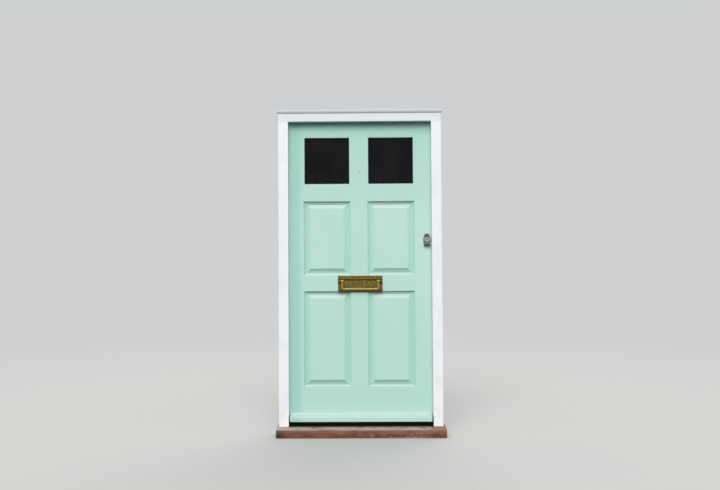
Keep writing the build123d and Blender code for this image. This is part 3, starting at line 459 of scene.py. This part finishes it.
@dataclass(frozen=True)
class SillTimber:
    """Red-brown stained hardwood, scuffed grey where feet cross its top, with painted shade on its top under the
    leaf.
    """

    stain: Rgb = srgb(123, 73, 54)
    light_stain: Rgb = srgb(152, 102, 80)
    dark_stain: Rgb = srgb(52, 33, 22)
    scuffed: Rgb = srgb(156, 144, 138)
    under_leaf_shade: Rgb = srgb(40, 31, 25)
    grain: Cloud = Cloud((5.0, 90.0, 90.0), 4.0, 3.0)
    light_grain: Fade = Fade(0.45, 0.75, 0.7)
    blotches: Cloud = Cloud((11.0, 30.0, 30.0), 4.0, 8.0)
    dark_blotch: Fade = Fade(0.5, 0.68, 0.55)
    flakes: Cloud = Cloud((40.0, 60.0, 60.0), 4.0, 12.0, 0.65)
    flaked: Fade = Fade(0.55, 0.66)
    flaked_x: Fade = Fade(-0.35, 0.1, 0.5)
    left_end_x: Fade = Fade(-0.46, -0.567, 0.85)
    post_x: float = 0.488
    walk_fade: float = 0.05
    between_fade: float = 0.002
    walked: Cloud = Cloud((13.0, 22.0, 22.0), 4.0)
    walked_patch: Fade = Fade(0.3, 0.5)
    faces_up: Fade = Fade(0.55, 0.9)
    foot_z: Fade = Fade(0.013, 0.005)
    foot_x: Fade = Fade(0.47, 0.44)
    foot_patch: Fade = Fade(0.35, 0.5)
    foot_least: float = 0.12
    foot_more_x: Fade = Fade(0.15, 0.3, 0.45)
    nose_z: Fade = Fade(0.012, 0.054, 0.3)
    under_leaf_y: Fade = Fade(-0.03, 0.01)
    under_leaf_faces_up: Fade = Fade(0.3, 0.6)
    relief: Relief = Relief(0.5, 0.0008)
    roughness: float = 0.6
    rougher: float = 0.25

    def material(self) -> bpy.types.Material:
        """Make the timber.

        Returns:
            The timber.
        """
        material, graph = new_graph("sill_timber")
        point = graph.place()
        across, height = point.axis("X"), point.axis("Z")
        facing_up = graph.facing().axis("Z")
        grain = graph.noise(self.grain)
        blotches = graph.noise(self.blotches)
        colour = graph.blend(self.stain, self.light_stain, self.light_grain.over(grain))
        colour = graph.blend(colour, self.dark_stain, self.dark_blotch.over(blotches))
        flakes = self.flaked.over(graph.noise(self.flakes)) * self.flaked_x.over(across)
        colour = graph.blend(colour, self.scuffed, flakes)
        colour = graph.blend(colour, self.dark_stain, self.left_end_x.over(across))
        walked = across.band(self.post_x, self.post_x - self.walk_fade)
        walked = walked * self.walked_patch.over(graph.noise(self.walked))
        colour = graph.blend(colour, self.scuffed, self.faces_up.over(facing_up) * walked)
        foot = self.foot_z.over(height) * self.foot_x.over(across) * self.foot_patch.over(blotches)
        foot = foot * (self.foot_least + self.foot_more_x.over(across))
        colour = graph.blend(colour, self.scuffed, foot + self.nose_z.over(height))
        # Painted shade on the sill's top between the posts, under the weatherboard and the leaf.
        between = across.away(self.post_x + self.between_fade, self.post_x)
        under_leaf_mask = self.under_leaf_y.over(point.axis("Y")) * self.under_leaf_faces_up.over(facing_up) * between
        colour = graph.blend(colour, self.under_leaf_shade, under_leaf_mask)
        graph.surface(
            Base_Color=colour,
            Roughness=self.roughness + blotches * self.rougher,
            Specular_IOR_Level=0.0,
            Normal=graph.bump(grain, self.relief),
        )
        return material


@dataclass(frozen=True)
class DarkGlass:
    """Opaque panes in a nearly black colour that is painted shade for the dark space behind them, a little uneven,
    with some dust along their foot.
    """

    behind_shade: Rgb = (0.002, 0.003, 0.0042)
    warm: Rgb = (0.0125, 0.0085, 0.0055)
    blue: Rgb = (0.003, 0.0058, 0.009)
    dust: Rgb = (0.016, 0.019, 0.017)
    warm_clouds: Cloud = Cloud((5.0, 5.0, 3.0), 3.0, 9.0)
    warm_patch: Fade = Fade(0.42, 0.7, 0.8)
    blue_clouds: Cloud = Cloud((6.0, 6.0, 2.0), 2.0, 15.0)
    blue_patch: Fade = Fade(0.45, 0.65, 0.7)
    dust_z: Fade = Fade(1.82, 1.73)
    dust_clouds: Cloud = Cloud(60.0, 3.0, 4.0)
    dust_patch: Fade = Fade(0.4, 0.7)
    dust_strength: float = 0.5
    waves: Cloud = Cloud(4.0, 1.0, 2.0)
    relief: Relief = Relief(0.3, 0.0004)
    index: float = 1.24
    roughness: float = 0.02
    rougher: float = 0.1

    def material(self) -> bpy.types.Material:
        """Make the glass.

        Returns:
            The glass.
        """
        material, graph = new_graph("dark_glass")
        # Painted shade: the base colour stands for the dark space behind the pane, unevenly warmer and bluer.
        colour = graph.blend(self.behind_shade, self.warm, self.warm_patch.over(graph.noise(self.warm_clouds)))
        colour = graph.blend(colour, self.blue, self.blue_patch.over(graph.noise(self.blue_clouds)))
        dust = self.dust_z.over(graph.place().axis("Z")) * self.dust_patch.over(graph.noise(self.dust_clouds))
        colour = graph.blend(colour, self.dust, dust * self.dust_strength)
        graph.surface(
            Base_Color=colour,
            Roughness=self.roughness + dust * self.rougher,
            IOR=self.index,
            Normal=graph.bump(graph.noise(self.waves), self.relief),
        )
        return material


@dataclass(frozen=True)
class AgedBrass:
    """Brass gone brown and olive in patches, with painted shadow in the crease over the flap where it has one.

    The crease's painted shadow lies at the flap's top edge, the notches' below it by the bail's ears, and a band
    along the plate's foot under the bail.
    """

    name: str
    bright: Rgb
    brown: Rgb
    olive: Rgb
    patchiness: float = 0.8
    roughness: float = 0.4
    rougher: float = 0.2
    grime_and_shade: Rgb = (0.028, 0.022, 0.008)
    patches: Cloud = Cloud(55.0, 4.0, 2.0, 0.65)
    olive_patch: Fade = Fade(0.38, 0.62)
    spots: Cloud = Cloud(160.0, 3.0, 7.0)
    brown_spot: Fade = Fade(0.48, 0.7)
    crease_z: Optional[float] = None
    crease_half_h: float = 0.004
    crease_strength: float = 0.85
    notch_drop: float = 0.0195
    notch_half_h: float = 0.0035
    notch_strength: float = 0.9
    ear_x: float = 0.131
    ear_fade: float = 0.003
    fade_under: float = 0.002
    fade_over: float = 0.001
    foot_z: Fade = Fade(0.981, 0.977, 0.45)
    relief: Relief = Relief(0.15, 0.0003)

    def material(self) -> bpy.types.Material:
        """Make the brass.

        Returns:
            The brass.
        """
        material, graph = new_graph(self.name)
        patches = graph.noise(self.patches)
        spots = graph.noise(self.spots)
        colour = graph.blend(self.bright, self.olive, self.olive_patch.over(patches) * self.patchiness)
        colour = graph.blend(colour, self.brown, self.brown_spot.over(spots) * self.patchiness)
        if self.crease_z is not None:
            point = graph.place()
            across, height = point.axis("X"), point.axis("Z")
            # Painted shadow: the crease at the flap's top, notches under the bail's ears, and the foot under the
            # bail.
            crease = self.line(height, self.crease_z, self.crease_half_h)
            notch = self.line(height, self.crease_z - self.notch_drop, self.notch_half_h)
            notch = notch * across.away(self.ear_x - self.ear_fade, self.ear_x)
            painted_shadow = crease * self.crease_strength + notch * self.notch_strength + self.foot_z.over(height)
            colour = graph.blend(colour, self.grime_and_shade, painted_shadow)
        graph.surface(
            Base_Color=colour,
            Metallic=1.0,
            Roughness=self.roughness + spots * self.rougher,
            Normal=graph.bump(spots, self.relief),
        )
        return material

    def line(self, height: Wire, middle: float, half: float) -> Wire:
        """Add a soft-edged level line.

        Args:
            height: the height over the surface.
            middle: the line's own height.
            half: half of its thickness.

        Returns:
            1 in the line and 0 away from it.
        """
        low, high = middle - half, middle + half
        return height.band(low - self.fade_under, low) * height.band(high, high - self.fade_over)


@dataclass(frozen=True)
class PlainMetal:
    """A metal or enamelled metal with faint clouding."""

    name: str
    colour: Rgb
    roughness: float
    metallic: float = 1.0
    clouds: Cloud = Cloud(70.0, 3.0, 3.0)
    cloudy: Fade = Fade(0.4, 0.75, 0.25)
    dull_share: float = 0.6
    rougher: float = 0.12

    def material(self) -> bpy.types.Material:
        """Make the metal.

        Returns:
            The metal.
        """
        material, graph = new_graph(self.name)
        clouds = graph.noise(self.clouds)
        dull = tuple(self.dull_share * channel for channel in self.colour)
        colour = graph.blend(self.colour, dull, self.cloudy.over(clouds))
        roughness = self.roughness + clouds * self.rougher
        graph.surface(Base_Color=colour, Metallic=self.metallic, Roughness=roughness)
        return material


@dataclass(frozen=True)
class ShadedChrome:
    """Chrome, bright on its raised rim and flange, with painted shade darkening the dish and the lip.

    The body is the pull without its flange. The dish and lip are darkest there, and painted shade greys the rim
    lower down.
    """

    bright: Rgb = (0.96, 0.92, 0.97)
    dull: Rgb = (0.05, 0.075, 0.062)
    side: Rgb = (0.5, 0.54, 0.55)
    middle_x: float = 0.458
    body_half_w: float = 0.0175
    body_fade: float = 0.002
    dish_y: Fade = Fade(0.0455, 0.0475)
    dish_least: float = 0.4
    lip_z: Fade = Fade(1.305, 1.301)
    lip_least: float = 0.8
    side_z: Fade = Fade(1.345, 1.325)
    clouds: Cloud = Cloud(120.0, 3.0, 5.0)
    darker_least: float = 0.75
    darker_clouded: float = 0.4
    roughness: float = 0.16
    rougher: float = 0.3

    def material(self) -> bpy.types.Material:
        """Make the chrome.

        Returns:
            The chrome.
        """
        material, graph = new_graph("shaded_chrome")
        point = graph.place()
        across, height = point.axis("X"), point.axis("Z")
        body = (across - self.middle_x).away(self.body_half_w + self.body_fade, self.body_half_w)
        # Painted shade: the dish and lip darkened, most across the body, and the rim greyer lower down.
        dish = self.dish_y.over(point.axis("Y")) * (self.dish_least + body * (1.0 - self.dish_least))
        lip = self.lip_z.over(height) * (self.lip_least + body * (1.0 - self.lip_least))
        dull = 1.0 - (1.0 - dish) * (1.0 - lip)
        rim = graph.blend(self.bright, self.side, self.side_z.over(height))
        uneven = self.darker_least + graph.noise(self.clouds) * self.darker_clouded
        colour = graph.blend(rim, self.dull, dull * uneven)
        graph.surface(Base_Color=colour, Metallic=1.0, Roughness=self.roughness + dull * self.rougher)
        return material


class Finishes:
    """Every finish of the door, each made once."""

    def __init__(self) -> None:
        """Make the materials."""
        brushed = (Along.WIDTH, Along.HEIGHT)
        self.leaf = {along: LeafPaint().material(along) for along in brushed}
        # The mouldings get painted shade all over.
        self.moulding = LeafPaint().material(Along.NONE, shade_all_over=0.2)
        # The panels' painted shade on faces turned down is lifted near the bevel's foot.
        self.panel = LeafPaint(name="panel_paint", bevel_fade=0.8).material(Along.HEIGHT)
        # The top muntin: painted shade inside its fixing hole, and a darker spot round it.
        self.holed_leaf = LeafPaint(
            name="holed_paint",
            field_y=0.0512,
            shade_lift_y=0.0557,
            bevel_foot_y=0.0522,
            recess_strength=0.9,
            dark_spot_x=-0.004,
            dark_spot_z=1.793,
            dark_spot_strength=0.75,
        ).material(Along.HEIGHT)
        # The outer beads get deep painted shade on their reveals by the glass.
        self.bead = LeafPaint(
            name="bead_paint",
            shade_green=srgb(92, 122, 108),
            field_y=0.0519,
            shade_lift_y=0.0564,
            bevel_foot_y=0.0529,
            panel_back_y=0.056,
            recess_strength=0.9,
        ).material(Along.HEIGHT)
        self.frame = {along: FramePaint().material(along) for along in brushed}
        self.sill = SillTimber().material()
        self.glass = DarkGlass().material()
        self.plate = AgedBrass(
            "plate_brass",
            bright=(0.21, 0.16, 0.045),
            brown=(0.14, 0.062, 0.014),
            olive=(0.10, 0.085, 0.018),
            crease_z=max(corner.co.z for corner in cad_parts["letter_flap"].data.vertices),
        ).material()
        self.bail = AgedBrass(
            "handled_brass",
            bright=(0.37, 0.32, 0.115),
            brown=(0.24, 0.15, 0.046),
            olive=(0.25, 0.225, 0.078),
            patchiness=0.5,
            roughness=0.5,
        ).material()
        self.pull = ShadedChrome().material()
        self.chrome = PlainMetal("chrome_plate", (0.62, 0.61, 0.64), 0.16).material()
        self.bright_brass = PlainMetal("bright_brass", (0.72, 0.58, 0.28), 0.25).material()
        self.dull_brass = PlainMetal("dull_brass", (0.36, 0.29, 0.14), 0.45).material()
        self.dirty_brass = PlainMetal("dirty_brass", (0.07, 0.06, 0.035), 0.6).material()
        self.plug = PlainMetal("plug_brass", (0.22, 0.14, 0.085), 0.4).material()
        self.enamel = PlainMetal("latch_enamel", (0.085, 0.08, 0.07), 0.42, metallic=0.0).material()
        self.steel = PlainMetal("plated_steel", (0.52, 0.51, 0.49), 0.34).material()
        self.spring = PlainMetal("spring_wire", (0.34, 0.34, 0.35), 0.3).material()


def dress(names: Iterable[str], material: bpy.types.Material) -> None:
    """Give CAD nodes a finish.

    Args:
        names: the nodes' names.
        material: the finish.
    """
    for name in names:
        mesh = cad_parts[name].data
        mesh.materials.clear()
        mesh.materials.append(material)
        log.info("%s is finished in %s", name, material.name)


@dataclass
class TimberFrame:
    """The posts, head, cap, sill and water bar."""

    upright: tuple[str, ...] = ("hinge_post", "lock_post")
    level: tuple[str, ...] = ("head", "cap_moulding")

    def finish(self, finishes: Finishes) -> None:
        """Dress the frame's nodes.

        Args:
            finishes: the door's finishes.
        """
        dress(self.upright, finishes.frame[Along.HEIGHT])
        dress(self.level, finishes.frame[Along.WIDTH])
        dress(["sill"], finishes.sill)
        dress(["water_bar"], finishes.dirty_brass)


@dataclass
class Leaf:
    """The leaf's stiles, rails, muntins, panels, mouldings and weatherboard."""

    upright: tuple[str, ...] = ("hinge_stile", "lock_stile", "upper_muntin", "lower_muntin")
    level: tuple[str, ...] = ("top_rail", "frieze_rail", "lock_rail", "bottom_rail", "weatherboard")
    sides: tuple[str, ...] = ("left", "right")
    rows: tuple[str, ...] = ("upper", "lower")

    def finish(self, finishes: Finishes) -> None:
        """Dress the leaf's nodes.

        Args:
            finishes: the door's finishes.
        """
        dress(self.upright, finishes.leaf[Along.HEIGHT])
        dress(["top_muntin"], finishes.holed_leaf)
        dress(self.level, finishes.leaf[Along.WIDTH])
        for side in self.sides:
            dress([f"{side}_outer_beads"], finishes.bead)
            dress([f"{side}_inner_beads"], finishes.leaf[Along.HEIGHT])
            dress([f"{side}_pane"], finishes.glass)
            for row in self.rows:
                dress([f"{row}_{side}_panel"], finishes.panel)
                dress([f"{row}_{side}_moulding"], finishes.moulding)


@dataclass
class Hinges:
    """The three butt hinges and their screws."""

    places: tuple[str, ...] = ("top", "middle", "bottom")
    fixings: tuple[str, ...] = ("hinge_pins", "hinge_post_screws", "hinge_stile_screws")

    def finish(self, finishes: Finishes) -> None:
        """Dress the hinges.

        Args:
            finishes: the door's finishes.
        """
        for place in self.places:
            dress([f"{place}_hinge_fixed_flap", f"{place}_hinge_moving_flap"], finishes.steel)
        dress(self.fixings, finishes.steel)


@dataclass
class LetterPlate:
    """The letter plate, its flap and its bail."""

    shown: tuple[str, ...] = ("letter_plate", "letter_flap")
    hidden: tuple[str, ...] = ("letter_plate_nuts", "flap_pin")

    def finish(self, finishes: Finishes) -> None:
        """Dress the letter plate's nodes.

        Args:
            finishes: the door's finishes.
        """
        dress(self.shown, finishes.plate)
        dress(self.hidden, finishes.dull_brass)
        dress(["knocker_bail"], finishes.bail)
        dress(["flap_spring"], finishes.spring)


@dataclass
class RimLatch:
    """The cylinder and its pull outside, and the latch and staple inside."""

    enamel: tuple[str, ...] = ("latch_backplate", "latch_case", "staple")
    brass: tuple[str, ...] = ("tailbar", "latch_bolt", "latch_knob", "latch_snib")
    screws: tuple[str, ...] = ("backplate_screws", "cylinder_screws", "staple_screws")

    def finish(self, finishes: Finishes) -> None:
        """Dress the latch's nodes.

        Args:
            finishes: the door's finishes.
        """
        dress(["cylinder_pull"], finishes.pull)
        dress(["cylinder"], finishes.chrome)
        dress(["cylinder_plug"], finishes.plug)
        dress(self.enamel, finishes.enamel)
        dress(self.brass, finishes.bright_brass)
        dress(self.screws, finishes.steel)
        dress(["latch_spring"], finishes.spring)


@dataclass(frozen=True)
class Lamp:
    """An even, soft lamp: its strength, how wide it looks from the door, and the way its light goes."""

    name: str
    strength: float
    softness_deg: float
    towards: Place

    def hang(self) -> None:
        """Add the lamp to the scene."""
        data = bpy.data.lights.new(self.name, "SUN")
        data.energy = self.strength
        data.angle = math.radians(self.softness_deg)
        hung = bpy.data.objects.new(self.name, data)
        bpy.context.scene.collection.objects.link(hung)
        hung.rotation_mode = "QUATERNION"
        hung.rotation_quaternion = Vector(self.towards).to_track_quat("-Z", "Y")


@dataclass
class Studio:
    """The floor, the light and the camera."""

    lamps: tuple[Lamp, ...] = (
        Lamp("key", 2.6, 45.0, (0.1, 0.95, -0.85)),
        Lamp("fill", 1.3, 60.0, (-0.25, -0.9, -0.7)),
    )
    background: Rgb = (0.62, 0.63, 0.64)
    floor_colour: Rgb = (0.42, 0.42, 0.41)
    floor_bounce: Rgb = (0.07, 0.07, 0.068)
    floor_half: float = 60.0
    floor_z: float = -0.0005
    far: Fade = Fade(2.6, 9.0)
    sky: float = 0.95
    sky_low: float = 0.3
    sky_up: Fade = Fade(-0.2, 1.0)
    image_w: float = 720.0
    image_h: float = 490.0
    centre_px: tuple[float, float] = (343.74, 249.83)
    focal_px: float = 737.0
    sensor: float = 36.0
    eye: Place = (-0.0549, -4.9986, 1.1103)
    yaw_deg: float = -0.646
    pitch_deg: float = 1.629
    roll_deg: float = -0.32

    def build(self) -> None:
        """Make the floor, the light and the camera."""
        self.make_floor()
        self.make_world()
        for lamp in self.lamps:
            lamp.hang()
        self.make_camera()
        bpy.context.scene.view_settings.view_transform = "Standard"
        log.info("studio with %d lamps", len(self.lamps))

    def make_floor(self) -> None:
        """Lay a pale floor that fades into the background far from the door."""
        half = self.floor_half
        corners = [(-half, -half, 0), (half, -half, 0), (half, half, 0), (-half, half, 0)]
        mesh = bpy.data.meshes.new("floor")
        mesh.from_pydata(corners, [], [(0, 1, 2, 3)])
        floor = bpy.data.objects.new("floor", mesh)
        bpy.context.scene.collection.objects.link(floor)
        floor.location.z = self.floor_z
        material, graph = new_graph("floor")
        seen = self.seen(graph)
        colour = graph.blend(self.floor_bounce, self.floor_colour, seen)
        matt = graph.node("ShaderNodeBsdfDiffuse", {}, {"Color": colour})
        glow = graph.node("ShaderNodeEmission", {}, {"Color": self.background, "Strength": 1.0})
        length = graph.node("ShaderNodeVectorMath", {"operation": "LENGTH"}, {0: graph.place()})
        far = self.far.over(Wire(graph, length.outputs["Value"]))
        shader = graph.node("ShaderNodeMixShader", {}, {0: far * seen, 1: matt.outputs[0], 2: glow.outputs[0]})
        graph.node("ShaderNodeOutputMaterial", {}, {"Surface": shader.outputs[0]})
        mesh.materials.append(material)

    @staticmethod
    def seen(graph: Graph) -> Wire:
        """Tell what is looked at from what lights the door.

        Args:
            graph: the graph to add the nodes to.

        Returns:
            1 for what shows, straight or in metal and glass, and 0 for light on the door.
        """
        path = graph.node("ShaderNodeLightPath")
        rays = [Wire(graph, path.outputs[f"Is {name} Ray"]) for name in ("Camera", "Glossy", "Transmission")]
        return (rays[0] + rays[1] + rays[2]).band(0.0, 1.0)

    def make_world(self) -> None:
        """Light from all round, more from above, before a plain pale background."""
        world = bpy.data.worlds.new("studio")
        bpy.context.scene.world = world
        graph = Graph(world)
        up = Wire(graph, graph.node("ShaderNodeTexCoord").outputs["Generated"], Kind.VECTOR).axis("Z")
        light = self.sky_low + self.sky_up.over(up) * (self.sky - self.sky_low)
        glow = graph.blend(0.0, 1.0, light)
        colour = graph.blend(glow, self.background, self.seen(graph))
        back = graph.node("ShaderNodeBackground", {}, {"Color": colour, "Strength": 1.0})
        graph.node("ShaderNodeOutputWorld", {}, {"Surface": back.outputs[0]})

    def make_camera(self) -> None:
        """Set the camera at the photograph's viewing angle."""
        data = bpy.data.cameras.new("camera")
        data.sensor_width = self.sensor
        data.lens = self.focal_px * self.sensor / self.image_w
        data.shift_x = (self.image_w / 2 - self.centre_px[0]) / self.image_w
        data.shift_y = (self.centre_px[1] - self.image_h / 2) / self.image_w
        camera = bpy.data.objects.new("camera", data)
        bpy.context.scene.collection.objects.link(camera)
        yaw, pitch, roll = (math.radians(angle) for angle in (self.yaw_deg, self.pitch_deg, self.roll_deg))
        ahead = Vector((math.sin(yaw) * math.cos(pitch), math.cos(yaw) * math.cos(pitch), math.sin(pitch)))
        right = Vector((math.cos(yaw), -math.sin(yaw), 0.0))
        above = right.cross(ahead)
        turned_right = right * math.cos(roll) + above * math.sin(roll)
        turned_above = above * math.cos(roll) - right * math.sin(roll)
        turn = Matrix((turned_right, turned_above, -ahead)).transposed().to_4x4()
        camera.matrix_world = Matrix.Translation(Vector(self.eye)) @ turn
        bpy.context.scene.camera = camera


def main() -> None:
    """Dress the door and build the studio."""
    finishes = Finishes()
    for part in (TimberFrame(), Leaf(), Hinges(), LetterPlate(), RimLatch()):
        part.finish(finishes)
        log.info("%s is done", type(part).__name__)
    Studio().build()


if __name__ == "__main__":
    logging.basicConfig(level=logging.INFO, format="%(message)s")
    main()
